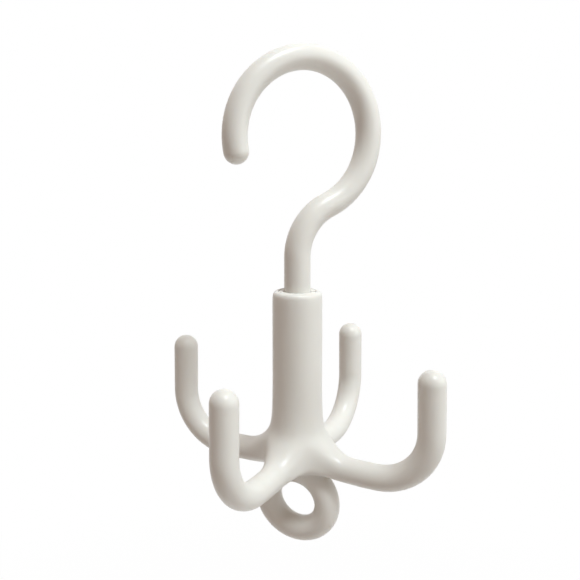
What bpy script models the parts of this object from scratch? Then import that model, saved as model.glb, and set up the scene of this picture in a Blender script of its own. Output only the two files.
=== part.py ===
"""Rotating closet hook.

A hook for a closet rail turns freely in the barrel of a moulded body, which has four upturned
claws around it and a closed eye underneath. Lengths are in metres. Z is the swivel axis. The
hook's loop lies in the XZ plane, open towards -X, and the origin is on the swivel axis at the
inner curve of the loop, where the rail bears.
"""
import math

import bmesh
import bpy
import numpy as np

MM = 0.001
CLEARANCE = 0.3 * MM
OVERRUN = 2.0 * MM
WELD_DISTANCE = 0.01 * MM

# Hook: a round rod bent to a question mark over a straight shank
HOOK_ROD_DIAMETER = 9.7 * MM
SHANK_DIAMETER = 10.0 * MM
SHANK_HEIGHT = 12.3 * MM
LOOP_RADIUS = 27.5 * MM
LOOP_OFFSET = 2.7 * MM
NECK_BEND_RADIUS = 20.7 * MM
TIP_ANGLE = math.radians(10.8)

# Head of the shank, trapped in the barrel
HEAD_OVERHANG = 1.0 * MM
HEAD_LENGTH = 4.0 * MM
HEAD_CHAMFER = 0.8 * MM
HEAD_SLOPE = 0.3 * MM

# Split collar that is pressed into the mouth of the barrel
COLLAR_WALL = 1.7 * MM
COLLAR_LENGTH = 12.0 * MM
COLLAR_CHAMFER = 0.4 * MM
COLLAR_SLIT = 1.0 * MM
COLLAR_SLIT_TURN = math.radians(-70)
BEAD_HEIGHT = 0.5 * MM
BEAD_LENGTH = 2.4 * MM

# Barrel of the body, a little wider at its foot and cored out below the hook's head
BARREL_WALL = 1.7 * MM
BARREL_LENGTH = 68.6 * MM
FOOT_FLARE = 0.2 * MM
LIP_SIZE = 2.4 * MM
CORE_DIAMETER = 9.0 * MM
CORE_DEPTH = 46.0 * MM

# Claws: round rods that leave the barrel level and turn straight up
CLAW_COUNT = 4
CLAW_ROOT_DIAMETER = 10.0 * MM
CLAW_TIP_DIAMETER = 10.2 * MM
CLAW_REACH = 53.3 * MM
CLAW_BEND_RADIUS = 20.5 * MM
CLAW_HEIGHT = 44.4 * MM
CLAW_LEAN = math.radians(1.6)
CLAW_TURN = math.radians(36)

# Blend of the claws into the barrel
SHOULDER_RISE = 4.4 * MM
SHOULDER_SPREAD = 3.6 * MM
WEB_SPREAD = 1.2 * MM
WEB_RISE = 3.6 * MM
FILLET_HEIGHT = 6.6 * MM
ARCH_SPREAD = 1.4 * MM
ARCH_RISE = 7.7 * MM
ARCH_CREASE = 0.5
CLAW_START_SHARE = 0.39

# Eye under the body, in line with one pair of claws
EYE_WIDTH = 25.9 * MM
EYE_HEIGHT = 24.7 * MM
EYE_ROD_DIAMETER = 10.2 * MM
EYE_SINK = 5.9 * MM

# Fineness of the curved surfaces
ARC_STEP = math.radians(6)
TIP_STEPS = 6
HOOK_BEVEL_RESOLUTION = 8
EYE_BEVEL_RESOLUTION = 6
EYE_STEPS = 36
TURNED_STEPS = 48
SMOOTH_LEVELS = 2
SMOOTH_ANGLE = math.radians(40)

# Cage of the body: a barrel ring has a point on each claw and one between each two claws
RING_SIDES = 2 * CLAW_COUNT
ROD_SIDES = 6
ARCH_SIDES = (2, 4)
BEND_RINGS = 4
SPLINE_SHARES = (1 / 6, 4 / 6, 1 / 6)
TIP_RISE_SHARES = (0.71, 1.02)
TIP_RADIUS_SHARES = (0.71, 0.33)

# Plastic of the three pieces
WHITE = (0.80, 0.78, 0.75)
BODY_ROUGHNESS = 0.35
COLLAR_ROUGHNESS = 0.40

# Sizes that follow from the ones above
HEAD_DIAMETER = SHANK_DIAMETER + 2 * HEAD_OVERHANG
COLLAR_BORE = SHANK_DIAMETER + 2 * CLEARANCE
COLLAR_DIAMETER = COLLAR_BORE + 2 * COLLAR_WALL
MOUTH_DIAMETER = COLLAR_DIAMETER + 2 * CLEARANCE
GROOVE_DIAMETER = MOUTH_DIAMETER + 2 * BEAD_HEIGHT
BARREL_DIAMETER = GROOVE_DIAMETER + 2 * BARREL_WALL
FOOT_DIAMETER = BARREL_DIAMETER + 2 * FOOT_FLARE
HEAD_TOP = -COLLAR_LENGTH - CLEARANCE
HEAD_BOTTOM = HEAD_TOP - HEAD_LENGTH
CLAW_LEVEL = -BARREL_LENGTH
SHOULDER_LEVEL = CLAW_LEVEL + CLAW_ROOT_DIAMETER / 2 + SHOULDER_RISE
UNDERSIDE_LEVEL = CLAW_LEVEL - CLAW_ROOT_DIAMETER / 2
EYE_LEVEL = UNDERSIDE_LEVEL + EYE_SINK - (EYE_HEIGHT + EYE_ROD_DIAMETER) / 2
NECK_ACROSS = LOOP_OFFSET - NECK_BEND_RADIUS
NECK_RISE = math.sqrt((NECK_BEND_RADIUS + LOOP_RADIUS) ** 2 - NECK_ACROSS**2)
LOOP_LEVEL = SHANK_HEIGHT + NECK_RISE
INNER_LOOP_RADIUS = LOOP_RADIUS - HOOK_ROD_DIAMETER / 2
SEAT_HEIGHT = LOOP_LEVEL + math.sqrt(INNER_LOOP_RADIUS**2 - LOOP_OFFSET**2)


def clear_scene():
    for item in list(bpy.data.objects):
        bpy.data.objects.remove(item, do_unlink=True)


def new_collection(name):
    group = bpy.data.collections.new(name)
    bpy.context.scene.collection.children.link(group)
    return group


def plastic(name, colour, roughness):
    material = bpy.data.materials.new(name)
    material.use_nodes = True
    shader = material.node_tree.nodes["Principled BSDF"]
    shader.inputs["Base Color"].default_value = (*colour, 1.0)
    shader.inputs["Roughness"].default_value = roughness
    shader.inputs["Metallic"].default_value = 0.0
    return material


def mesh_object(name, bm, group):
    mesh = bpy.data.meshes.new(name)
    bm.to_mesh(mesh)
    bm.free()
    item = bpy.data.objects.new(name, mesh)
    group.objects.link(item)
    return item


def evaluated_mesh(item):
    """Mesh of an object with its modifiers and its curve's bevel carried out."""
    bpy.context.view_layer.update()
    depsgraph = bpy.context.evaluated_depsgraph_get()
    return bpy.data.meshes.new_from_object(item.evaluated_get(depsgraph))


def finish(item, material):
    """Carry out the modifiers, shade round faces smooth and keep the sharp edges."""
    item.data = evaluated_mesh(item)
    item.modifiers.clear()
    item.data.shade_smooth()
    item.data.set_sharp_from_angle(angle=SMOOTH_ANGLE)
    item.data.materials.clear()
    item.data.materials.append(material)


def turned(name, profile, group, closed):
    """Turn a profile of (radius, height) points, listed down its outer side, about Z."""
    bm = bmesh.new()
    verts = [bm.verts.new((radius, 0, height)) for radius, height in profile]
    for first, second in zip(verts, verts[1:]):
        bm.edges.new((first, second))
    if closed:
        bm.edges.new((verts[-1], verts[0]))
    item = mesh_object(name, bm, group)
    screw = item.modifiers.new("turn", "SCREW")
    screw.axis = "Z"
    screw.angle = 2 * math.pi
    screw.steps = TURNED_STEPS
    screw.render_steps = TURNED_STEPS
    screw.use_merge_vertices = True
    screw.merge_threshold = WELD_DISTANCE
    return item


def as_cutter(item):
    item.hide_render = True
    item.display_type = "WIRE"
    return item


def combine(item, other, operation):
    boolean = item.modifiers.new(other.name, "BOOLEAN")
    boolean.operation = operation
    boolean.solver = "EXACT"
    boolean.object = other


def arc(centre, radius, start, end):
    """Points of a circular arc in a plane, ARC_STEP or a little less apart."""
    count = math.ceil(abs(end - start) / ARC_STEP)
    angles = np.linspace(start, end, count + 1)
    return [(centre[0] + radius * math.cos(a), centre[1] + radius * math.sin(a)) for a in angles]


def shank_stations():
    """Head of the shank as (x, height, radius), from its bottom up."""
    shank = SHANK_DIAMETER / 2
    head = HEAD_DIAMETER / 2
    return [
        (0, HEAD_BOTTOM, head - HEAD_CHAMFER),
        (0, HEAD_BOTTOM + HEAD_CHAMFER, head),
        (0, HEAD_TOP - HEAD_SLOPE, head),
        (0, HEAD_TOP, shank),
    ]


def loop_stations():
    """Neck bend, loop and rounded tip as (x, height, radius)."""
    shank = SHANK_DIAMETER / 2
    rod_radius = HOOK_ROD_DIAMETER / 2
    neck_end = math.atan2(NECK_RISE, NECK_ACROSS)
    tip_end = math.pi + TIP_ANGLE
    neck = arc((NECK_BEND_RADIUS, SHANK_HEIGHT), NECK_BEND_RADIUS, math.pi, neck_end)
    loop = arc((LOOP_OFFSET, LOOP_LEVEL), LOOP_RADIUS, neck_end - math.pi, tip_end)
    radii = np.linspace(shank, rod_radius, len(neck))
    stations = [(x, z, radius) for (x, z), radius in zip(neck, radii)]
    stations += [(x, z, rod_radius) for x, z in loop[1:]]
    end_x, end_z = loop[-1]
    for turn in np.linspace(0, math.pi / 2, TIP_STEPS + 1)[1:-1]:
        reach = rod_radius * math.sin(turn)
        x = end_x - reach * math.sin(tip_end)
        z = end_z + reach * math.cos(tip_end)
        stations.append((x, z, rod_radius * math.cos(turn)))
    return stations


def rod(name, stations, resolution, group, closed=False):
    """Round rod in the XZ plane through stations of (x, height, radius)."""
    curve = bpy.data.curves.new(name, "CURVE")
    curve.dimensions = "3D"
    curve.bevel_depth = stations[0][2]
    curve.bevel_resolution = resolution
    curve.use_fill_caps = not closed
    spline = curve.splines.new("POLY")
    spline.points.add(len(stations) - 1)
    spline.use_cyclic_u = closed
    for point, (x, z, radius) in zip(spline.points, stations):
        point.co = (x, 0, z, 1)
        point.radius = radius / curve.bevel_depth
    item = bpy.data.objects.new(name, curve)
    group.objects.link(item)
    return item


def build_top_hook(group):
    stations = shank_stations() + loop_stations()
    item = rod("top_hook", stations, HOOK_BEVEL_RESOLUTION, group)
    item.data.materials.append(plastic("top_hook_plastic", WHITE, BODY_ROUGHNESS))
    return item


def eye_ring(group):
    """Oval ring of round rod, as a mesh that can be joined to the body."""
    stations = []
    for i in range(EYE_STEPS):
        turn = i * 2 * math.pi / EYE_STEPS
        x = EYE_WIDTH / 2 * math.cos(turn)
        z = EYE_HEIGHT / 2 * math.sin(turn) + EYE_LEVEL
        stations.append((x, z, EYE_ROD_DIAMETER / 2))
    curve = rod("eye_line", stations, EYE_BEVEL_RESOLUTION, group, closed=True)
    ring = bpy.data.objects.new("eye", evaluated_mesh(curve))
    group.objects.link(ring)
    ring.matrix_world = curve.matrix_world
    bpy.data.objects.remove(curve, do_unlink=True)
    ring.rotation_euler = (0, 0, math.pi / 2)
    return as_cutter(ring)


def kept_share(sides):
    """Share of a cage ring's radius that is left when the ring is smoothed."""
    return (2 + math.cos(2 * math.pi / sides)) / 3


def through_points(rows):
    """Cage rows whose smoothed surface passes through the given rows."""
    count = len(rows)
    weights = np.eye(count)
    for i in range(1, count - 1):
        weights[i, i - 1 : i + 2] = SPLINE_SHARES
    flat = np.array(rows).reshape(count, -1)
    return np.linalg.solve(weights, flat).reshape(count, -1, 3)


def claw_path():
    """Centres of a claw's rings as (x, height, lean, radius), from its root to its tip."""
    tip = CLAW_TIP_DIAMETER / 2
    foot = FOOT_DIAMETER / 2
    upright = math.pi / 2 + CLAW_LEAN
    bend_x = CLAW_REACH - CLAW_BEND_RADIUS
    start_x = foot + CLAW_START_SHARE * (bend_x - foot)
    path = [(start_x, CLAW_LEVEL, 0), ((start_x + bend_x) / 2, CLAW_LEVEL, 0)]
    for lean in np.linspace(0, upright, BEND_RINGS):
        x = bend_x + CLAW_BEND_RADIUS * math.sin(lean)
        z = CLAW_LEVEL + CLAW_BEND_RADIUS * (1 - math.cos(lean))
        path.append((x, z, lean))
    tip_z = CLAW_LEVEL + CLAW_HEIGHT - tip
    tip_x = x - (tip_z - z) * math.tan(CLAW_LEAN)
    path.append(((x + tip_x) / 2, (z + tip_z) / 2, upright))
    path.append((tip_x, tip_z, upright))
    radii = list(np.linspace(CLAW_ROOT_DIAMETER / 2, tip, len(path)))
    for rise_share in TIP_RISE_SHARES:
        rise = rise_share * tip
        path.append((tip_x + rise * math.cos(upright), tip_z + rise * math.sin(upright), upright))
    radii += [share * tip for share in TIP_RADIUS_SHARES]
    return [(*place, radius) for place, radius in zip(path, radii)]


def claw_rows():
    """Rings of one claw's cage, for a claw that points along +X."""
    rows = []
    for x, z, lean, radius in claw_path():
        cage_radius = radius / kept_share(ROD_SIDES)
        row = []
        for side in range(ROD_SIDES):
            angle = math.pi / 2 - side * 2 * math.pi / ROD_SIDES
            out = cage_radius * math.sin(angle)
            across = cage_radius * math.cos(angle)
            row.append((x - out * math.sin(lean), across, z + out * math.cos(lean)))
        rows.append(row)
    return through_points(rows)


def cage_ring(bm, on_claw, between):
    """Ring of cage points, given as (radius, height) on a claw and between two claws."""
    verts = []
    for i in range(RING_SIDES):
        turn = i * 2 * math.pi / RING_SIDES
        radius, z = (on_claw, between)[i % 2]
        verts.append(bm.verts.new((radius * math.cos(turn), radius * math.sin(turn), z)))
    return verts


def band(bm, first, second):
    """Faces that join two rings of as many points."""
    for i in range(len(first)):
        bm.faces.new((first[i - 1], first[i], second[i], second[i - 1]))


def add_barrel(bm):
    """Cage of the barrel, down to the ring at its shoulder, which is given back."""
    kept = kept_share(RING_SIDES)
    top = BARREL_DIAMETER / 2 / kept
    foot = FOOT_DIAMETER / 2 / kept
    rows = [(top - 2 * LIP_SIZE, 0), (top - LIP_SIZE, 0), (top, 0)]
    for z in (-LIP_SIZE, SHOULDER_LEVEL / 2, SHOULDER_LEVEL + FILLET_HEIGHT):
        rows.append((top + (foot - top) * z / SHOULDER_LEVEL, z))
    rings = [cage_ring(bm, row, row) for row in rows]
    shoulder = (foot + SHOULDER_SPREAD, SHOULDER_LEVEL)
    web = (foot + WEB_SPREAD, SHOULDER_LEVEL + WEB_RISE)
    rings.append(cage_ring(bm, shoulder, web))
    bm.faces.new(rings[0])
    for first, second in zip(rings, rings[1:]):
        band(bm, first, second)
    return rings[-1]


def add_underside(bm):
    """Cage of the hub's underside, arched between the claws; its outer ring is given back."""
    foot = FOOT_DIAMETER / 2 / kept_share(RING_SIDES)
    low = CLAW_LEVEL - CLAW_ROOT_DIAMETER / 2 / kept_share(ROD_SIDES)
    lower = cage_ring(bm, (foot, low), (foot + ARCH_SPREAD, low + ARCH_RISE))
    middle = bm.verts.new((0, 0, low))
    for i in range(0, RING_SIDES, 2):
        bm.faces.new((middle, lower[i - 2], lower[i - 1], lower[i]))
    return lower


def add_claw(bm, rows, index, upper, lower):
    """Cage of one claw, out of the hexagon between the shoulder and the underside."""
    turn = index * 2 * math.pi / RING_SIDES
    after = (index + 1) % RING_SIDES
    before = index - 1
    last = [upper[index], upper[after], lower[after], lower[index], lower[before], upper[before]]
    crease = bm.edges.layers.float["crease_edge"]
    for place, row in enumerate(rows):
        ring = []
        for x, y, z in row:
            turned_x = x * math.cos(turn) - y * math.sin(turn)
            turned_y = x * math.sin(turn) + y * math.cos(turn)
            ring.append(bm.verts.new((turned_x, turned_y, z)))
        band(bm, last, ring)
        if place == 0:
            for side in ARCH_SIDES:
                bm.edges.get((last[side], ring[side]))[crease] = ARCH_CREASE
        last = ring
    bm.faces.new(last)


def barrel_bore(group):
    """Stepped hollow of the barrel: mouth with the bead's groove, head chamber and core."""
    mouth = MOUTH_DIAMETER / 2
    groove = GROOVE_DIAMETER / 2
    chamber = HEAD_DIAMETER / 2 + CLEARANCE
    core = CORE_DIAMETER / 2
    middle = -COLLAR_LENGTH / 2
    half = BEAD_LENGTH / 2 + CLEARANCE
    floor = HEAD_BOTTOM - CLEARANCE
    profile = [
        (0, OVERRUN),
        (mouth, OVERRUN),
        (mouth, middle + half),
        (groove, middle + half - BEAD_HEIGHT),
        (groove, middle - half + BEAD_HEIGHT),
        (mouth, middle - half),
        (mouth, HEAD_TOP),
        (chamber, HEAD_TOP),
        (chamber, floor),
        (core, floor),
        (core, -CORE_DEPTH),
        (0, -CORE_DEPTH),
    ]
    return as_cutter(turned("barrel_bore", profile, group, closed=False))


def build_claw_body(group, cutters):
    bm = bmesh.new()
    bm.edges.layers.float.new("crease_edge")
    shoulder = add_barrel(bm)
    underside = add_underside(bm)
    rows = claw_rows()
    for index in range(0, RING_SIDES, 2):
        add_claw(bm, rows, index, shoulder, underside)
    bmesh.ops.recalc_face_normals(bm, faces=bm.faces)
    item = mesh_object("claw_body", bm, group)
    smooth = item.modifiers.new("smooth", "SUBSURF")
    smooth.levels = SMOOTH_LEVELS
    smooth.render_levels = SMOOTH_LEVELS
    eye = eye_ring(cutters)
    bore = barrel_bore(cutters)
    combine(item, eye, "UNION")
    combine(item, bore, "DIFFERENCE")
    finish(item, plastic("claw_body_plastic", WHITE, BODY_ROUGHNESS))
    return item, eye, bore


def collar_slit(group):
    """Block that opens the collar on one side, from its bore outwards."""
    bpy.ops.mesh.primitive_cube_add(size=1)
    slit = as_cutter(bpy.context.object)
    slit.name = "collar_slit"
    for owner in list(slit.users_collection):
        owner.objects.unlink(slit)
    group.objects.link(slit)
    reach = COLLAR_DIAMETER / 2 + OVERRUN
    slit.scale = (COLLAR_DIAMETER, COLLAR_SLIT, COLLAR_LENGTH + 2 * OVERRUN)
    slit.rotation_euler = (0, 0, COLLAR_SLIT_TURN)
    slit.location = (
        reach * math.cos(COLLAR_SLIT_TURN),
        reach * math.sin(COLLAR_SLIT_TURN),
        -COLLAR_LENGTH / 2,
    )
    return slit


def build_collar(group, cutters):
    outer = COLLAR_DIAMETER / 2
    inner = COLLAR_BORE / 2
    middle = -COLLAR_LENGTH / 2
    half = BEAD_LENGTH / 2
    profile = [
        (outer - COLLAR_CHAMFER, 0),
        (outer, -COLLAR_CHAMFER),
        (outer, middle + half),
        (outer + BEAD_HEIGHT, middle + half - BEAD_HEIGHT),
        (outer + BEAD_HEIGHT, middle - half + BEAD_HEIGHT),
        (outer, middle - half),
        (outer, COLLAR_CHAMFER - COLLAR_LENGTH),
        (outer - COLLAR_CHAMFER, -COLLAR_LENGTH),
        (inner, -COLLAR_LENGTH),
        (inner, 0),
    ]
    item = turned("retaining_collar", profile, group, closed=True)
    slit = collar_slit(cutters)
    combine(item, slit, "DIFFERENCE")
    finish(item, plastic("collar_plastic", WHITE, COLLAR_ROUGHNESS))
    return item, slit


def main():
    clear_scene()
    parts = new_collection("rotating_closet_hook")
    cutters = new_collection("cutters")
    hook = build_top_hook(parts)
    body, eye, bore = build_claw_body(parts, cutters)
    collar, slit = build_collar(parts, cutters)
    axis = bpy.data.objects.new("swivel_axis", None)
    parts.objects.link(axis)
    axis.location = (0, 0, -SEAT_HEIGHT)
    axis.rotation_euler = (0, 0, CLAW_TURN)
    for item in (body, eye, bore, collar, slit):
        item.parent = axis
    hook.location = (0, 0, -SEAT_HEIGHT)


main()
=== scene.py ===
import math

import bmesh
import bpy
import numpy as np
from mathutils import Matrix, Vector
from mathutils.bvhtree import BVHTree


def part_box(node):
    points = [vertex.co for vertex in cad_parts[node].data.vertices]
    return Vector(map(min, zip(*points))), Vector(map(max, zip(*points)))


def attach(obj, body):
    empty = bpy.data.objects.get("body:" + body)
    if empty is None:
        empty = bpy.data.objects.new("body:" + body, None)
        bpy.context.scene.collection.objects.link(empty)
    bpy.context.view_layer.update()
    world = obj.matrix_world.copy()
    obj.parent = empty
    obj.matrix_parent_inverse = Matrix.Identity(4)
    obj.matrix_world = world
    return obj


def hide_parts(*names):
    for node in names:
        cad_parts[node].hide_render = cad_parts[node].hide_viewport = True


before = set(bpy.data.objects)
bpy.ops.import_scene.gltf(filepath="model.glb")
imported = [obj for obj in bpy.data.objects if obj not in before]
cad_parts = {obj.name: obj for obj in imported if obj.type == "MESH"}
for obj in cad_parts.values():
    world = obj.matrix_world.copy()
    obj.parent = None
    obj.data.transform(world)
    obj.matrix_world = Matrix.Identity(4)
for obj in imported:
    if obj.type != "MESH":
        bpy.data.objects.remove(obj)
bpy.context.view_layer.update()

# Top hook
# A solid rod of white plastic, moulded as a question mark that hangs on the closet rail. Its
# straight shank goes down into the barrel, where a wider head keeps it from being pulled out.
MM = 0.001
HOOK_ROD = 9.7 * MM
HOOK_ROD_TIP = 9.3 * MM
THINNER_FROM = math.radians(20)
THINNEST_FROM = math.radians(90)
SHANK = 10.0 * MM
SHANK_HEIGHT = 12.3 * MM
LOOP_RADIUS = 27.5 * MM
LOOP_OFFSET = 2.7 * MM
LOOP_SWELL = 0.72 * MM
SWELL_TURN = math.radians(64)
SWELL_REACH = math.radians(76)
NECK_BEND_RADIUS = 20.7 * MM
TIP_ANGLE = math.radians(10.8)
HEAD_ROOM = 0.3 * MM
HEAD_CHAMFER = 0.8 * MM
HEAD_SLOPE = 0.3 * MM
FINE_ARC_STEP = math.radians(1.5)
ROD_SECTION_POINTS = 96
DOME_STEPS = 14
DOME_POINT_SHARE = 0.01
WELD_DISTANCE = 0.001 * MM
SHARP_ANGLE = math.radians(35)
WARM_WHITE = (0.792, 0.790, 0.762)
SHADE_WHITE = (0.763, 0.757, 0.728)
GLOSSY = 0.32
SATIN = 0.42
GLOSS_RANGE = (-0.05, 0.07)
FLOW_RANGE = (0.35, 0.75)
FLOW_SHARE = 0.5
# Scale and detail of the noise that makes each of them
FLOW_MARKS = (70.0, 3.0)
POLISH_MARKS = (260.0, 4.0)
MOULD_GRAIN = (2200.0, 2.0)

claw_low, claw_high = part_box("claw_body")
hook_low, hook_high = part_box("top_hook")
collar_low, collar_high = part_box("retaining_collar")
barrel_top = claw_high.z


def moulded_plastic(name, gloss):
    """White plastic with faint flow marks in its colour, uneven gloss and a fine mould grain."""
    material = bpy.data.materials.new(name)
    material.use_nodes = True
    nodes = material.node_tree.nodes
    links = material.node_tree.links
    shader = nodes["Principled BSDF"]
    shader.inputs["IOR"].default_value = 1.49
    shader.inputs["Specular IOR Level"].default_value = 0.36
    shader.inputs["Subsurface Weight"].default_value = 0.12
    shader.inputs["Subsurface Radius"].default_value = (1.0, 0.75, 0.55)
    shader.inputs["Subsurface Scale"].default_value = 2.5 * MM
    place = nodes.new("ShaderNodeTexCoord")

    def noise(scale, detail):
        texture = nodes.new("ShaderNodeTexNoise")
        texture.inputs["Scale"].default_value = scale
        texture.inputs["Detail"].default_value = detail
        links.new(place.outputs["Object"], texture.inputs["Vector"])
        return texture.outputs["Fac"]

    flow = nodes.new("ShaderNodeMix")
    flow.data_type = "RGBA"
    flow.inputs["A"].default_value = (*WARM_WHITE, 1.0)
    flow.inputs["B"].default_value = (*SHADE_WHITE, 1.0)
    marks = nodes.new("ShaderNodeMapRange")
    marks.inputs["From Min"].default_value = FLOW_RANGE[0]
    marks.inputs["From Max"].default_value = FLOW_RANGE[1]
    marks.inputs["To Max"].default_value = FLOW_SHARE
    links.new(noise(*FLOW_MARKS), marks.inputs["Value"])
    links.new(marks.outputs["Result"], flow.inputs["Factor"])
    links.new(flow.outputs["Result"], shader.inputs["Base Color"])

    polish = nodes.new("ShaderNodeMapRange")
    polish.inputs["To Min"].default_value = gloss + GLOSS_RANGE[0]
    polish.inputs["To Max"].default_value = gloss + GLOSS_RANGE[1]
    links.new(noise(*POLISH_MARKS), polish.inputs["Value"])
    links.new(polish.outputs["Result"], shader.inputs["Roughness"])

    grain = nodes.new("ShaderNodeBump")
    grain.inputs["Strength"].default_value = 0.06
    grain.inputs["Distance"].default_value = 0.05 * MM
    links.new(noise(*MOULD_GRAIN), grain.inputs["Height"])
    links.new(grain.outputs["Normal"], shader.inputs["Normal"])
    return material


def round_rod_tree(name, copies):
    """Geometry nodes that sweep a round section along a curve, set out in equal turns about Z."""
    tree = bpy.data.node_groups.new(name, "GeometryNodeTree")
    sockets = tree.interface
    sockets.new_socket("Line", in_out="INPUT", socket_type="NodeSocketGeometry")
    points = sockets.new_socket("Section Points", in_out="INPUT", socket_type="NodeSocketInt")
    finish = sockets.new_socket("Finish", in_out="INPUT", socket_type="NodeSocketMaterial")
    sockets.new_socket("Rods", in_out="OUTPUT", socket_type="NodeSocketGeometry")
    nodes = tree.nodes
    links = tree.links
    given = nodes.new("NodeGroupInput")
    section = nodes.new("GeometryNodeCurvePrimitiveCircle")
    section.inputs["Radius"].default_value = 1.0
    links.new(given.outputs["Section Points"], section.inputs["Resolution"])
    radius = nodes.new("GeometryNodeInputRadius")
    sweep = nodes.new("GeometryNodeCurveToMesh")
    sweep.inputs["Fill Caps"].default_value = True
    links.new(given.outputs["Line"], sweep.inputs["Curve"])
    links.new(section.outputs["Curve"], sweep.inputs["Profile Curve"])
    links.new(radius.outputs["Radius"], sweep.inputs["Scale"])
    smooth = nodes.new("GeometryNodeSetShadeSmooth")
    links.new(sweep.outputs["Mesh"], smooth.inputs["Geometry"])
    rods = smooth.outputs["Geometry"]
    if copies > 1:
        hub = nodes.new("GeometryNodePoints")
        hub.inputs["Count"].default_value = copies
        index = nodes.new("GeometryNodeInputIndex")
        turn = nodes.new("ShaderNodeMath")
        turn.operation = "MULTIPLY"
        turn.inputs[1].default_value = 2 * math.pi / copies
        links.new(index.outputs["Index"], turn.inputs[0])
        angle = nodes.new("ShaderNodeCombineXYZ")
        links.new(turn.outputs["Value"], angle.inputs["Z"])
        spread = nodes.new("GeometryNodeInstanceOnPoints")
        links.new(hub.outputs["Points"], spread.inputs["Points"])
        links.new(rods, spread.inputs["Instance"])
        links.new(angle.outputs["Vector"], spread.inputs["Rotation"])
        rods = spread.outputs["Instances"]
    real = nodes.new("GeometryNodeRealizeInstances")
    links.new(rods, real.inputs["Geometry"])
    paint = nodes.new("GeometryNodeSetMaterial")
    links.new(real.outputs["Geometry"], paint.inputs["Geometry"])
    links.new(given.outputs["Finish"], paint.inputs["Material"])
    out = nodes.new("NodeGroupOutput")
    links.new(paint.outputs["Geometry"], out.inputs["Rods"])
    return tree, points.identifier, finish.identifier


def swept_rod(name, stations, material, copies=1, closed=False):
    """Mesh of a round rod through stations of (x, height, radius) in the XZ plane."""
    curve = bpy.data.curves.new(name, "CURVE")
    curve.dimensions = "3D"
    spline = curve.splines.new("POLY")
    spline.points.add(len(stations) - 1)
    spline.use_cyclic_u = closed
    for point, (x, z, radius) in zip(spline.points, stations):
        point.co = (x, 0, z, 1)
        point.radius = radius
    line = bpy.data.objects.new(name, curve)
    bpy.context.scene.collection.objects.link(line)
    tree, points_input, finish_input = round_rod_tree(name + "_sweep", copies)
    sweep = line.modifiers.new("sweep", "NODES")
    sweep.node_group = tree
    sweep[points_input] = ROD_SECTION_POINTS
    sweep[finish_input] = material
    bpy.context.view_layer.update()
    depsgraph = bpy.context.evaluated_depsgraph_get()
    mesh = bpy.data.meshes.new_from_object(line.evaluated_get(depsgraph))
    bpy.data.objects.remove(line)
    mesh.name = name
    bm = bmesh.new()
    bm.from_mesh(mesh)
    bmesh.ops.remove_doubles(bm, verts=bm.verts, dist=WELD_DISTANCE)
    bmesh.ops.recalc_face_normals(bm, faces=bm.faces)
    bm.to_mesh(mesh)
    bm.free()
    return mesh


def arc(centre, radius, start, end):
    """Points of a circular arc in the XZ plane, closely spaced."""
    count = math.ceil(abs(end - start) / FINE_ARC_STEP)
    angles = np.linspace(start, end, count + 1)
    return [(centre[0] + radius * math.cos(a), centre[1] + radius * math.sin(a)) for a in angles]


def swollen_loop(turn):
    """Point of the hook's loop, which is a little fuller between its outer side and its top."""
    off = min(abs(turn - SWELL_TURN) / SWELL_REACH, 1.0)
    radius = LOOP_RADIUS + LOOP_SWELL * math.cos(off * math.pi / 2) ** 2
    return LOOP_OFFSET + radius * math.cos(turn), loop_level + radius * math.sin(turn)


def dome(end_x, end_z, along_x, along_z, radius):
    """Stations of the half round end of a rod that points along (along_x, along_z)."""
    stations = []
    for turn in np.linspace(0, math.pi / 2, DOME_STEPS + 1)[1:]:
        reach = radius * math.sin(turn)
        left = max(radius * math.cos(turn), DOME_POINT_SHARE * radius)
        stations.append((end_x + along_x * reach, end_z + along_z * reach, left))
    return stations


def shown(name, mesh):
    """Object at the origin that puts a mesh into the scene."""
    piece = bpy.data.objects.new(name, mesh)
    bpy.context.scene.collection.objects.link(piece)
    return piece


neck_across = LOOP_OFFSET - NECK_BEND_RADIUS
neck_rise = math.sqrt((NECK_BEND_RADIUS + LOOP_RADIUS) ** 2 - neck_across**2)
neck_end = math.atan2(neck_rise, neck_across)
neck_level = barrel_top + SHANK_HEIGHT
loop_level = neck_level + neck_rise
tip_end = math.pi + TIP_ANGLE
head_radius = (hook_high.y - hook_low.y) / 2
head_top = collar_low.z - (barrel_top - collar_high.z) - HEAD_ROOM

neck = arc((NECK_BEND_RADIUS, neck_level), NECK_BEND_RADIUS, math.pi, neck_end)
loop_turns = np.arange(neck_end - math.pi, tip_end, FINE_ARC_STEP)
loop = [swollen_loop(turn) for turn in (*loop_turns, tip_end)]
neck_radii = np.linspace(SHANK / 2, HOOK_ROD / 2, len(neck))
hook_stations = [
    (0, hook_low.z, head_radius - HEAD_CHAMFER),
    (0, hook_low.z + HEAD_CHAMFER, head_radius),
    (0, head_top - HEAD_SLOPE, head_radius),
    (0, head_top, SHANK / 2),
]
hook_stations += [(x, z, radius) for (x, z), radius in zip(neck, neck_radii)]
loop_radii = np.interp(
    [*loop_turns, tip_end], [THINNER_FROM, THINNEST_FROM], [HOOK_ROD / 2, HOOK_ROD_TIP / 2]
)
hook_stations += [(x, z, radius) for (x, z), radius in zip(loop[1:], loop_radii[1:])]
hook_stations += dome(*loop[-1], -math.sin(tip_end), math.cos(tip_end), HOOK_ROD_TIP / 2)

hook_plastic = moulded_plastic("hook_white", GLOSSY)
hook_mesh = swept_rod("hook_rod", hook_stations, hook_plastic)
hook_mesh.set_sharp_from_angle(angle=SHARP_ANGLE)
hook = shown("hook_rod", hook_mesh)
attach(hook, "hook")
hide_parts("top_hook")

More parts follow.
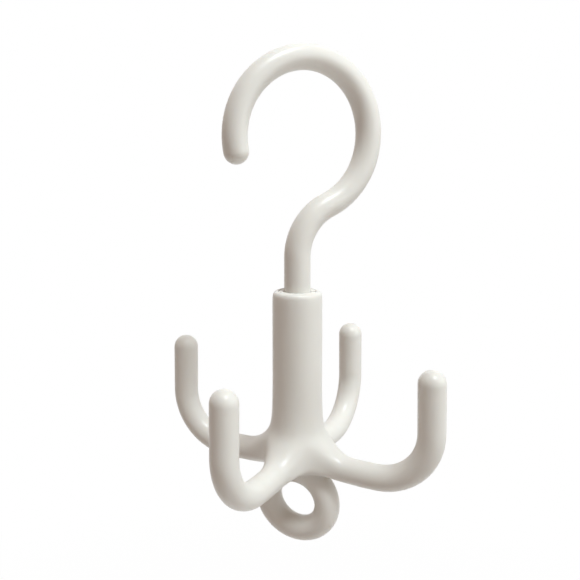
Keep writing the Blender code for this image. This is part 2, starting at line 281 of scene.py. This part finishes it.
# Claw body
# One moulding of the same white plastic: a long barrel that flows into four round claws with
# soft webs between them, and a closed eye underneath that takes another hook.
CLAW_COUNT = 4
BARREL = 19.0 * MM
FOOT_FLARE = 0.2 * MM
BARREL_LENGTH = 68.6 * MM
LIP = 3.8 * MM
LIP_SINK = 0.4 * MM
CLAW_ROOT = 9.8 * MM
CLAW_TIP = 10.0 * MM
CLAW_REACH = 53.3 * MM
CLAW_BEND_RADIUS = 20.5 * MM
CLAW_HEIGHT = 44.4 * MM
CLAW_LEAN = math.radians(1.6)
CLAW_TURN = math.radians(36)
SHOULDER_RISE = 4.4 * MM
SHOULDER_SPREAD = 3.6 * MM
WEB_SPREAD = 1.2 * MM
WEB_RISE = 3.6 * MM
FILLET_HEIGHT = 6.6 * MM
ARCH_SPREAD = 1.4 * MM
ARCH_RISE = 7.7 * MM
ARCH_CREASE = 0.5
CLAW_START_SHARE = 0.39
EYE_WIDTH = 25.9 * MM
EYE_HEIGHT = 24.7 * MM
EYE_ROD = 10.2 * MM
EYE_HOLE_SHIFT = 0.2 * MM
EYE_THIN_SIDE = math.radians(215)
EYE_STEPS = 180
EYE_FILLET = 0.8 * MM
EYE_BESIDE = 3 * EYE_FILLET
MOUTH = 14.4 * MM
MOUTH_CHAMFER = 0.4 * MM
BORE_DEPTH = 12.6 * MM
BORE_OVERCUT = 1.0 * MM
BORE_STEPS = 128
RING_SIDES = 2 * CLAW_COUNT
ROD_SIDES = 6
ARCH_SIDES = (2, 4)
BEND_RINGS = 4
SPLINE_SHARES = (1 / 6, 4 / 6, 1 / 6)
TIP_RISE_SHARES = (0.71, 1.02)
TIP_RADIUS_SHARES = (0.71, 0.33)
CAGE_LEVELS = 4
SKIN_CELL = 0.55 * MM
CLAW_BLEND_START = 25.0 * MM
CLAW_BLEND_END = 34.0 * MM
SKIN_ROUNDS = 4
RELAX_ROUNDS = 2
ON_SURFACE = 0.02 * MM
LEAST_LENGTH = 1e-12

claw_level = barrel_top - BARREL_LENGTH
foot = BARREL + 2 * FOOT_FLARE
bend_x = CLAW_REACH - CLAW_BEND_RADIUS
upright = math.pi / 2 + CLAW_LEAN
tip_z = claw_level + CLAW_HEIGHT - CLAW_TIP / 2
bend_end_x = bend_x + CLAW_BEND_RADIUS * math.sin(upright)
bend_end_z = claw_level + CLAW_BEND_RADIUS * (1 - math.cos(upright))
tip_x = bend_end_x - (tip_z - bend_end_z) * math.tan(CLAW_LEAN)
eye_level = claw_low.z + (EYE_HEIGHT + EYE_ROD) / 2


def kept_share(sides):
    """Share of a cage ring's radius that is left when the ring is smoothed."""
    return (2 + math.cos(2 * math.pi / sides)) / 3


def through_points(rows):
    """Cage rows whose smoothed surface passes through the given rows."""
    count = len(rows)
    weights = np.eye(count)
    for i in range(1, count - 1):
        weights[i, i - 1 : i + 2] = SPLINE_SHARES
    flat = np.array(rows).reshape(count, -1)
    return np.linalg.solve(weights, flat).reshape(count, -1, 3)


def claw_rows():
    """Rings of one claw's cage, for a claw that points along +X."""
    start_x = foot / 2 + CLAW_START_SHARE * (bend_x - foot / 2)
    path = [(start_x, claw_level, 0), ((start_x + bend_x) / 2, claw_level, 0)]
    for lean in np.linspace(0, upright, BEND_RINGS):
        x = bend_x + CLAW_BEND_RADIUS * math.sin(lean)
        path.append((x, claw_level + CLAW_BEND_RADIUS * (1 - math.cos(lean)), lean))
    path.append(((bend_end_x + tip_x) / 2, (bend_end_z + tip_z) / 2, upright))
    path.append((tip_x, tip_z, upright))
    radii = list(np.linspace(CLAW_ROOT / 2, CLAW_TIP / 2, len(path)))
    for share in TIP_RISE_SHARES:
        rise = share * CLAW_TIP / 2
        path.append((tip_x + rise * math.cos(upright), tip_z + rise * math.sin(upright), upright))
    radii += [share * CLAW_TIP / 2 for share in TIP_RADIUS_SHARES]
    rows = []
    for (x, z, lean), radius in zip(path, radii):
        cage_radius = radius / kept_share(ROD_SIDES)
        row = []
        for side in range(ROD_SIDES):
            angle = math.pi / 2 - side * 2 * math.pi / ROD_SIDES
            out = cage_radius * math.sin(angle)
            aside = cage_radius * math.cos(angle)
            row.append((x - out * math.sin(lean), aside, z + out * math.cos(lean)))
        rows.append(row)
    return through_points(rows)


def cage_ring(bm, on_claw, between):
    """Ring of cage points, given as (radius, height) on a claw and between two claws."""
    verts = []
    for i in range(RING_SIDES):
        turn = i * 2 * math.pi / RING_SIDES
        radius, z = (on_claw, between)[i % 2]
        verts.append(bm.verts.new((radius * math.cos(turn), radius * math.sin(turn), z)))
    return verts


def band(bm, first, second):
    """Faces between two closed rings with the same number of points."""
    for i in range(len(first)):
        bm.faces.new((first[i - 1], first[i], second[i], second[i - 1]))


def body_cage():
    """Coarse cage of the barrel, the hub and the claws, closed all round."""
    bm = bmesh.new()
    crease = bm.edges.layers.float.new("crease_edge")
    kept = kept_share(RING_SIDES)
    top_radius = BARREL / 2 / kept
    foot_radius = foot / 2 / kept
    shoulder_level = claw_level + CLAW_ROOT / 2 + SHOULDER_RISE
    shoulder_drop = barrel_top - shoulder_level
    lip_top = barrel_top - LIP_SINK
    rows = [(top_radius - 2 * LIP, lip_top), (top_radius - LIP, lip_top), (top_radius, lip_top)]
    for drop in (LIP_SINK + LIP, shoulder_drop / 2, shoulder_drop - FILLET_HEIGHT):
        spread = (foot_radius - top_radius) * drop / shoulder_drop
        rows.append((top_radius + spread, barrel_top - drop))
    rings = [cage_ring(bm, row, row) for row in rows]
    shoulder = (foot_radius + SHOULDER_SPREAD, shoulder_level)
    web = (foot_radius + WEB_SPREAD, shoulder_level + WEB_RISE)
    upper = cage_ring(bm, shoulder, web)
    rings.append(upper)
    bm.faces.new(rings[0])
    for first, second in zip(rings, rings[1:]):
        band(bm, first, second)
    low = claw_level - CLAW_ROOT / 2 / kept_share(ROD_SIDES)
    lower = cage_ring(bm, (foot_radius, low), (foot_radius + ARCH_SPREAD, low + ARCH_RISE))
    middle = bm.verts.new((0, 0, low))
    rows = claw_rows()
    for index in range(0, RING_SIDES, 2):
        bm.faces.new((middle, lower[index - 2], lower[index - 1], lower[index]))
        turn = Matrix.Rotation(index * 2 * math.pi / RING_SIDES, 3, "Z")
        after = (index + 1) % RING_SIDES
        before = index - 1
        last = [upper[index], upper[after], lower[after]]
        last += [lower[index], lower[before], upper[before]]
        for place, row in enumerate(rows):
            ring = [bm.verts.new(turn @ Vector(point)) for point in row]
            band(bm, last, ring)
            if place == 0:
                for side in ARCH_SIDES:
                    bm.edges.get((last[side], ring[side]))[crease] = ARCH_CREASE
            last = ring
        bm.faces.new(last)
    bmesh.ops.recalc_face_normals(bm, faces=bm.faces)
    return bm


def evaluated_mesh(item):
    """Plain mesh of an object with its modifiers worked in."""
    bpy.context.view_layer.update()
    depsgraph = bpy.context.evaluated_depsgraph_get()
    return bpy.data.meshes.new_from_object(item.evaluated_get(depsgraph))


def smoothed_cage():
    """Smooth closed surface of the barrel, the hub and the claws."""
    mesh = bpy.data.meshes.new("body_cage")
    bm = body_cage()
    bm.to_mesh(mesh)
    bm.free()
    cage = shown("body_cage", mesh)
    smooth = cage.modifiers.new("smooth", "SUBSURF")
    smooth.levels = CAGE_LEVELS
    smooth.render_levels = CAGE_LEVELS
    result = evaluated_mesh(cage)
    bpy.data.objects.remove(cage)
    return result


def skin_of(meshes, cell):
    """One even skin of small faces round several closed meshes that run into each other."""
    bm = bmesh.new()
    for mesh in meshes:
        bm.from_mesh(mesh)
    joined = bpy.data.meshes.new("joined")
    bm.to_mesh(joined)
    bm.free()
    item = shown("joined", joined)
    remesh = item.modifiers.new("skin", "REMESH")
    remesh.mode = "VOXEL"
    remesh.voxel_size = cell
    result = evaluated_mesh(item)
    bpy.data.objects.remove(item)
    return result


def surface(mesh):
    """Surface of a mesh, ready to be searched for its nearest point."""
    bm = bmesh.new()
    bm.from_mesh(mesh)
    tree = BVHTree.FromBMesh(bm)
    bm.free()
    return tree


def nearest(tree, points):
    """Nearest surface points, the normals there and the signed distances, for many points."""
    places = np.empty((len(points), 3))
    normals = np.empty((len(points), 3))
    for i, point in enumerate(points):
        places[i], normals[i] = tree.find_nearest(point)[:2]
    away = points - places
    length = np.linalg.norm(away, axis=1)
    side = np.sign(np.einsum("ij,ij->i", away, normals))
    outward = away / np.maximum(length, LEAST_LENGTH)[:, None] * side[:, None]
    reliable = length > ON_SURFACE
    normals[reliable] = outward[reliable]
    return places, normals, side * length


def fillet_union(first, second, size):
    """Distance and slope of two surfaces joined with a rounded valley of about that size."""
    near = np.clip(0.5 + 0.5 * (second[1] - first[1]) / size, 0, 1)
    distance = second[1] * (1 - near) + first[1] * near - size * near * (1 - near)
    slope = first[0] * near[:, None] + second[0] * (1 - near)[:, None]
    return distance, slope


body_plastic = moulded_plastic("body_white", GLOSSY)
claw_line = [(0, claw_level, CLAW_ROOT / 2)]
claw_bend = arc((bend_x, claw_level + CLAW_BEND_RADIUS), CLAW_BEND_RADIUS, -math.pi / 2, CLAW_LEAN)
bend_radii = np.linspace(CLAW_ROOT / 2, CLAW_TIP / 2, len(claw_bend))
claw_line += [(x, z, radius) for (x, z), radius in zip(claw_bend, bend_radii)]
claw_line.append((tip_x, tip_z, CLAW_TIP / 2))
claw_line += dome(tip_x, tip_z, math.cos(upright), math.sin(upright), CLAW_TIP / 2)
claws_mesh = swept_rod("claw_rods", claw_line, body_plastic, copies=CLAW_COUNT)

eye_line = []
for i in range(EYE_STEPS):
    turn = i * 2 * math.pi / EYE_STEPS
    shift = EYE_HOLE_SHIFT * math.cos(turn - EYE_THIN_SIDE)
    eye_x = (EYE_WIDTH / 2 + shift) * math.cos(turn)
    eye_z = eye_level + (EYE_HEIGHT / 2 + shift) * math.sin(turn)
    eye_line.append((eye_x, eye_z, EYE_ROD / 2 - shift))
eye_mesh = swept_rod("eye_rod", eye_line, body_plastic, closed=True)
eye_mesh.transform(Matrix.Rotation(math.pi / 2, 4, "Z"))
cage_mesh = smoothed_cage()
skin = skin_of([cage_mesh, eye_mesh], SKIN_CELL)

cage_tree = surface(cage_mesh)
claws_tree = surface(claws_mesh)
eye_tree = surface(eye_mesh)
edges = np.empty(len(skin.edges) * 2, int)
skin.edges.foreach_get("vertices", edges)
edges = edges.reshape(-1, 2)
points = np.empty(len(skin.vertices) * 3)
skin.vertices.foreach_get("co", points)
points = points.reshape(-1, 3)
neighbours = np.bincount(edges.ravel(), minlength=len(points))
out_from_axis = np.hypot(points[:, 0], points[:, 1])
claw_share = np.clip((out_from_axis - CLAW_BLEND_START) / (CLAW_BLEND_END - CLAW_BLEND_START), 0, 1)
claw_share = claw_share**2 * (3 - 2 * claw_share)
near_eye = points[:, 2] < claw_level
# Round by round the skin settles on the smoothed cage near the barrel, on the claws' round rods
# further out, and on a small fillet beside the eye. The first rounds also even out its faces.
for step in range(SKIN_ROUNDS):
    if step < RELAX_ROUNDS:
        around = np.zeros_like(points)
        for axis in range(3):
            around[:, axis] += np.bincount(edges[:, 0], points[edges[:, 1], axis], len(points))
            around[:, axis] += np.bincount(edges[:, 1], points[edges[:, 0], axis], len(points))
        points = 0.5 * points + 0.5 * around / neighbours[:, None]
    cage_places, cage_normals, cage_distance = nearest(cage_tree, points)
    claw_places = nearest(claws_tree, points)[0]
    target = cage_places + claw_share[:, None] * (claw_places - cage_places)
    eye_side = points[near_eye]
    eye_normals, eye_distance = nearest(eye_tree, eye_side)[1:]
    distance, slope = fillet_union(
        (cage_normals[near_eye], cage_distance[near_eye]), (eye_normals, eye_distance), EYE_FILLET
    )
    moved = eye_side - distance[:, None] * slope / np.einsum("ij,ij->i", slope, slope)[:, None]
    beside_eye = eye_distance < EYE_BESIDE
    target[np.flatnonzero(near_eye)[beside_eye]] = moved[beside_eye]
    points = target
skin.vertices.foreach_set("co", points.ravel())
skin.update()
skin.transform(Matrix.Rotation(CLAW_TURN, 4, "Z"))

bore = bmesh.new()
bore_profile = [
    (MOUTH / 2 + MOUTH_CHAMFER + BORE_OVERCUT, barrel_top - LIP_SINK + BORE_OVERCUT),
    (MOUTH / 2, barrel_top - LIP_SINK - MOUTH_CHAMFER),
    (MOUTH / 2, barrel_top - BORE_DEPTH),
]
rings = []
for radius, z in bore_profile:
    ring = []
    for i in range(BORE_STEPS):
        turn = i * 2 * math.pi / BORE_STEPS
        ring.append(bore.verts.new((radius * math.cos(turn), radius * math.sin(turn), z)))
    rings.append(ring)
for first, second in zip(rings, rings[1:]):
    band(bore, first, second)
bore.faces.new(rings[0])
bore.faces.new(rings[-1])
bmesh.ops.recalc_face_normals(bore, faces=bore.faces)
bore_mesh = bpy.data.meshes.new("barrel_bore")
bore.to_mesh(bore_mesh)
bore.free()
bore_cutter = shown("barrel_bore", bore_mesh)
body_solid = shown("body_solid", skin)
cut = body_solid.modifiers.new("bore", "BOOLEAN")
cut.operation = "DIFFERENCE"
cut.solver = "EXACT"
cut.object = bore_cutter
body_mesh = evaluated_mesh(body_solid)
body_mesh.name = "claw_moulding"
bpy.data.objects.remove(body_solid)
bpy.data.objects.remove(bore_cutter)
body_mesh.materials.clear()
body_mesh.materials.append(body_plastic)
body_mesh.shade_smooth()
body_mesh.set_sharp_from_angle(angle=SHARP_ANGLE)
body = shown("claw_moulding", body_mesh)
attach(body, "claws")
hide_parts("claw_body")

# Retaining collar
# A short split ring of the same plastic, pressed into the barrel's mouth round the shank. Only
# its top face and the thin slit across it show, just below the lip of the barrel.
COLLAR = 14.1 * MM
COLLAR_BORE = 10.5 * MM
COLLAR_CHAMFER = 0.25 * MM
COLLAR_SINK = 0.55 * MM
COLLAR_SLIT = 0.9 * MM
COLLAR_SLIT_TURN = math.radians(-70)
COLLAR_SHARP_ANGLE = math.radians(30)
COLLAR_STEPS = 160

collar_bottom = collar_low.z
collar_top = barrel_top - COLLAR_SINK
collar_profile = [
    (COLLAR_BORE / 2 + COLLAR_CHAMFER, collar_top),
    (COLLAR / 2 - COLLAR_CHAMFER, collar_top),
    (COLLAR / 2, collar_top - COLLAR_CHAMFER),
    (COLLAR / 2, collar_bottom),
    (COLLAR_BORE / 2, collar_bottom),
    (COLLAR_BORE / 2, collar_top - COLLAR_CHAMFER),
]
half_slit = COLLAR_SLIT / COLLAR
slit_centre = COLLAR_SLIT_TURN + CLAW_TURN
collar_bm = bmesh.new()
sections = []
for turn in np.linspace(half_slit, 2 * math.pi - half_slit, COLLAR_STEPS):
    angle = slit_centre + turn
    sections.append([
        collar_bm.verts.new((radius * math.cos(angle), radius * math.sin(angle), z))
        for radius, z in collar_profile
    ])
for first, second in zip(sections, sections[1:]):
    band(collar_bm, first, second)
collar_bm.faces.new(sections[0])
collar_bm.faces.new(sections[-1])
bmesh.ops.recalc_face_normals(collar_bm, faces=collar_bm.faces)
collar_mesh = bpy.data.meshes.new("split_collar")
collar_bm.to_mesh(collar_mesh)
collar_bm.free()
collar_mesh.shade_smooth()
collar_mesh.set_sharp_from_angle(angle=COLLAR_SHARP_ANGLE)
collar_mesh.materials.append(moulded_plastic("collar_white", SATIN))
collar = shown("split_collar", collar_mesh)
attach(collar, "claws")
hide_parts("retaining_collar")

# Floor and backdrop
# A pale studio floor far below the hanging hook, and a white surround behind it. The camera
# sees both as white, and the floor still takes the hook's faint shadow.
FLOOR_DROP = 0.45
FLOOR_SIZE = 8.0
FLOOR_WHITE = (0.92, 0.92, 0.92)
FLOOR_SHADE_SHARE = 0.05
FLOOR_SHADE_START = 0.55
FLOOR_SHADE_END = 1.1
SURROUND_LIGHT = (1.0, 0.715, 0.545)
SURROUND_STRENGTH = 0.255
BACKDROP_WHITE = (1.0, 1.0, 1.0)

floor_bm = bmesh.new()
bmesh.ops.create_grid(floor_bm, x_segments=1, y_segments=1, size=FLOOR_SIZE / 2)
floor_mesh = bpy.data.meshes.new("studio_floor")
floor_bm.to_mesh(floor_mesh)
floor_bm.free()
floor_mesh.transform(Matrix.Translation((0, 0, claw_low.z - FLOOR_DROP)))


def seen_directly(nodes, links):
    """1 for rays from the camera, also by way of a gloss or a transmission, and 0 for others."""
    path = nodes.new("ShaderNodeLightPath")
    first = nodes.new("ShaderNodeMath")
    first.operation = "MAXIMUM"
    links.new(path.outputs["Is Camera Ray"], first.inputs[0])
    links.new(path.outputs["Is Glossy Ray"], first.inputs[1])
    second = nodes.new("ShaderNodeMath")
    second.operation = "MAXIMUM"
    links.new(first.outputs["Value"], second.inputs[0])
    links.new(path.outputs["Is Transmission Ray"], second.inputs[1])
    return second.outputs["Value"]


floor_paint = bpy.data.materials.new("studio_floor")
floor_paint.use_nodes = True
floor_nodes = floor_paint.node_tree.nodes
floor_links = floor_paint.node_tree.links
floor_shader = floor_nodes["Principled BSDF"]
floor_shader.inputs["Base Color"].default_value = (*FLOOR_WHITE, 1.0)
floor_shader.inputs["Roughness"].default_value = 0.9
floor_shader.inputs["Specular IOR Level"].default_value = 0.0
floor_glow = floor_nodes.new("ShaderNodeEmission")
floor_place = floor_nodes.new("ShaderNodeTexCoord")
floor_reach = floor_nodes.new("ShaderNodeVectorMath")
floor_reach.operation = "LENGTH"
floor_links.new(floor_place.outputs["Object"], floor_reach.inputs[0])
floor_fade = floor_nodes.new("ShaderNodeMapRange")
floor_fade.inputs["From Min"].default_value = FLOOR_SHADE_START
floor_fade.inputs["From Max"].default_value = FLOOR_SHADE_END
floor_fade.inputs["To Min"].default_value = 1 - FLOOR_SHADE_SHARE
floor_fade.inputs["To Max"].default_value = 1.0
floor_links.new(floor_reach.outputs["Value"], floor_fade.inputs["Value"])
floor_share = floor_nodes.new("ShaderNodeMath")
floor_share.operation = "MULTIPLY"
floor_links.new(seen_directly(floor_nodes, floor_links), floor_share.inputs[0])
floor_links.new(floor_fade.outputs["Result"], floor_share.inputs[1])
floor_mix = floor_nodes.new("ShaderNodeMixShader")
floor_links.new(floor_share.outputs["Value"], floor_mix.inputs["Fac"])
floor_links.new(floor_shader.outputs["BSDF"], floor_mix.inputs[1])
floor_links.new(floor_glow.outputs["Emission"], floor_mix.inputs[2])
floor_links.new(floor_mix.outputs["Shader"], floor_nodes["Material Output"].inputs["Surface"])
floor_mesh.materials.append(floor_paint)
floor = shown("studio_floor", floor_mesh)

world = bpy.data.worlds.new("studio")
bpy.context.scene.world = world
world.use_nodes = True
world_nodes = world.node_tree.nodes
world_links = world.node_tree.links
surround = world_nodes["Background"]
surround.inputs["Color"].default_value = (*SURROUND_LIGHT, 1.0)
surround.inputs["Strength"].default_value = SURROUND_STRENGTH
backdrop = world_nodes.new("ShaderNodeBackground")
backdrop.inputs["Color"].default_value = (*BACKDROP_WHITE, 1.0)
world_mix = world_nodes.new("ShaderNodeMixShader")
world_links.new(seen_directly(world_nodes, world_links), world_mix.inputs["Fac"])
world_links.new(surround.outputs["Background"], world_mix.inputs[1])
world_links.new(backdrop.outputs["Background"], world_mix.inputs[2])
world_links.new(world_mix.outputs["Shader"], world_nodes["World Output"].inputs["Surface"])

# Camera
# It stands close to the hook, a little above the barrel's top, and looks slightly down. The
# picture was cropped off centre, which the lens shift repeats.
PICTURE_SIZE = 580
FOCAL_PIXELS = 715.08
CENTRE_COLUMN = 240
SENSOR = 36.0
PITCH = math.radians(10.626)
ROLL = math.radians(-0.801)
VIEW_TURN = math.radians(22.55)
CAMERA_SIDE = -21.8 * MM
CAMERA_DISTANCE = 267.31 * MM
CAMERA_HEIGHT = 50.27 * MM
NEAREST_SEEN = 10.0 * MM

look = Vector((0, math.cos(PITCH), -math.sin(PITCH)))
level_right = Vector((1, 0, 0))
level_up = Vector((0, math.sin(PITCH), math.cos(PITCH)))
picture_right = level_right * math.cos(ROLL) + level_up * math.sin(ROLL)
picture_up = level_up * math.cos(ROLL) - level_right * math.sin(ROLL)
stand = Matrix((picture_right, picture_up, -look)).transposed().to_4x4()
stand.translation = Vector((CAMERA_SIDE, -CAMERA_DISTANCE, CAMERA_HEIGHT))
to_picture = Matrix.Translation((0, 0, barrel_top)) @ Matrix.Rotation(-VIEW_TURN, 4, "Z")
lens = bpy.data.cameras.new("camera")
lens.sensor_width = SENSOR
lens.lens = SENSOR * FOCAL_PIXELS / PICTURE_SIZE
lens.shift_x = (PICTURE_SIZE / 2 - CENTRE_COLUMN) / PICTURE_SIZE
lens.clip_start = NEAREST_SEEN
camera = bpy.data.objects.new("camera", lens)
camera.matrix_world = to_picture @ stand
bpy.context.scene.collection.objects.link(camera)
bpy.context.scene.camera = camera

# Lamps
# Three soft boxes about the hook, placed by their bearing from the camera's side of it. The warm
# surround fills the shade, and the box behind lights the far side without a gloss of its own.
# Each row gives name, bearing, height, distance, size, power, colour and whether gloss shows it.
LAMPS = (
    ("key_box", 37, 66, 1.2, 0.3, 11.05, (0.91, 0.985, 1.0), True),
    ("side_box", 67, 20, 1.2, 0.9, 5.75, (0.91, 0.985, 0.99), True),
    ("back_box", -135, 40, 1.2, 1.4, 3.3, (1.0, 0.98, 0.94), False),
)


def soft_box(name, bearing, height, distance, size, power, colour, in_gloss):
    """Square soft box at a bearing from the camera and a height, in degrees, facing the hook."""
    light = bpy.data.lights.new(name, "AREA")
    light.size = size
    light.energy = power
    light.color = colour
    box = bpy.data.objects.new(name, light)
    turn = math.radians(bearing)
    rise = math.radians(height)
    level = math.cos(rise)
    out = Vector((math.sin(turn) * level, -math.cos(turn) * level, math.sin(rise)))
    out = to_picture.to_3x3() @ out
    middle = Vector((0, 0, (claw_low.z + hook_high.z) / 2))
    box.location = middle + out * distance
    box.visible_glossy = in_gloss
    box.rotation_mode = "QUATERNION"
    box.rotation_quaternion = out.to_track_quat("Z", "Y")
    bpy.context.scene.collection.objects.link(box)


for lamp in LAMPS:
    soft_box(*lamp)

bpy.context.scene.view_settings.view_transform = "Standard"
